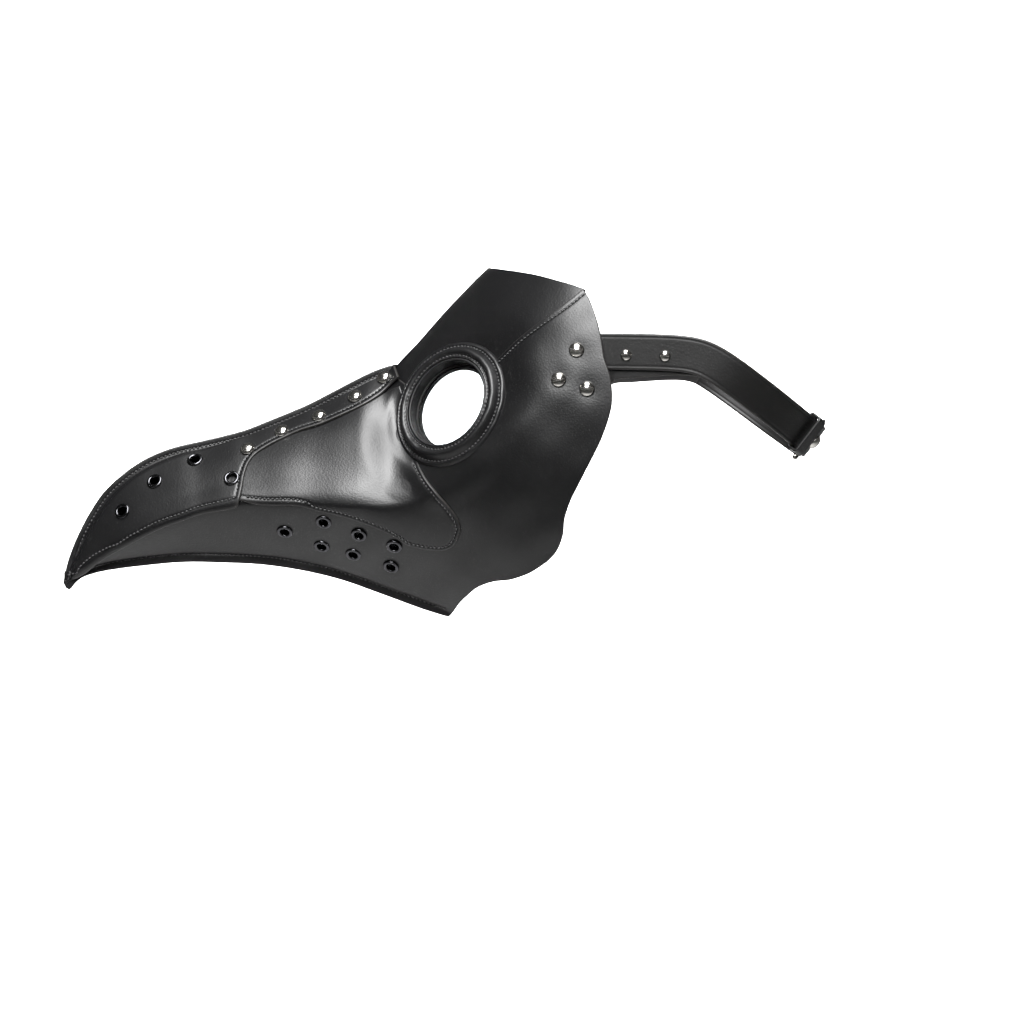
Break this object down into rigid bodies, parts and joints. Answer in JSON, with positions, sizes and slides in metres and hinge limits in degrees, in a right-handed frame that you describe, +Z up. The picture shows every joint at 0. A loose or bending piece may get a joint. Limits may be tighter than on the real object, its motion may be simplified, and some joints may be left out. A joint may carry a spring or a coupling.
{
  "type": "plague doctor mask",
  "caption": "Long-beaked black leather costume mask with padded round eye windows, riveted beak cover, vent eyelets and a buckled head strap.",
  "frame": {"origin": "centre of the face opening, level with the temples' lower edge and midway between them", "axes": "-Y the way the wearer faces and the beak points, +X the wearer's left, +Z up"},
  "size_m": [0.1692, 0.4464, 0.2043],
  "materials": {
    "mask_leather": "black synthetic leather with a soft satin sheen and fine grain",
    "welt_leather": "sewn edge of two black leather layers with black thread",
    "ring_leather": "black leather pulled over a padded roll, stitched",
    "strap_leather": "black strap leather with burnished edges",
    "lining": "black woven polyester lining cloth",
    "cup_plastic": "black moulded plastic",
    "lens_clear": "clear acrylic sheet",
    "gasket_rubber": "black closed-cell rubber",
    "nickel": "polished nickel plate over steel",
    "plain_steel": "pressed steel washers",
    "gunmetal": "black nickel plate",
    "buckle_nickel": "cast zinc buckle with nickel plate"
  },
  "bodies": {
    "mask": {"forehead_panel": "mask_leather", "forehead_lining": "lining", "ridge_welt": "welt_leather", "keel_welt": "welt_leather", "left_side_panel": "mask_leather", "right_side_panel": "mask_leather", "left_side_lining": "lining", "right_side_lining": "lining", "left_beak_panel": "mask_leather", "right_beak_panel": "mask_leather", "left_beak_cover": "mask_leather", "right_beak_cover": "mask_leather", "left_eye_ring": "ring_leather", "right_eye_ring": "ring_leather", "left_eye_cup": "cup_plastic", "right_eye_cup": "cup_plastic", "left_lens": "lens_clear", "right_lens": "lens_clear", "left_lens_gasket": "gasket_rubber", "right_lens_gasket": "gasket_rubber", "left_lens_retainer": "cup_plastic", "right_lens_retainer": "cup_plastic", "left_ridge_rivets": "nickel", "right_ridge_rivets": "nickel", "left_ridge_washers": "plain_steel", "right_ridge_washers": "plain_steel", "left_tip_eyelets": "nickel", "right_tip_eyelets": "nickel", "left_tip_washers": "plain_steel", "right_tip_washers": "plain_steel", "left_vent_eyelets": "gunmetal", "right_vent_eyelets": "gunmetal", "left_vent_washers": "gunmetal", "right_vent_washers": "gunmetal", "left_temple_rivets": "nickel", "right_temple_rivets": "nickel", "left_temple_washers": "plain_steel", "right_temple_washers": "plain_steel", "left_strap_tab": "strap_leather", "right_strap_tab": "strap_leather"},
    "left_strap": {"left_strap": "strap_leather", "left_strap_backing": "strap_leather", "left_strap_rivets": "nickel", "left_strap_washers": "plain_steel", "strap_keeper": "strap_leather", "fold_rivet": "nickel"},
    "right_strap": {"right_strap": "strap_leather", "right_strap_backing": "strap_leather", "right_strap_rivets": "nickel", "right_strap_washers": "plain_steel"},
    "buckle": {"buckle_frame": "buckle_nickel"},
    "prong": {"buckle_prong": "buckle_nickel"}
  },
  "joints": [
    {"name": "left_strap_hinge", "type": "hinge", "parent": "mask", "child": "left_strap", "pos_m": [0.0755, 0.032, 0.051], "axis": [0, 0, -1], "range_deg": [0, 75]},
    {"name": "right_strap_hinge", "type": "hinge", "parent": "mask", "child": "right_strap", "pos_m": [-0.0755, 0.032, 0.051], "axis": [0, 0, 1], "range_deg": [0, 75]},
    {"name": "buckle_hinge", "type": "hinge", "parent": "left_strap", "child": "buckle", "pos_m": [0.014, 0.14579, 0.00073], "axis": [0, -0.6126, -0.7904], "range_deg": [-20, 70]},
    {"name": "prong_hinge", "type": "hinge", "parent": "buckle", "child": "prong", "pos_m": [0.014, 0.14579, 0.00073], "axis": [0, -0.6126, -0.7904], "range_deg": [0, 60]}
  ]
}
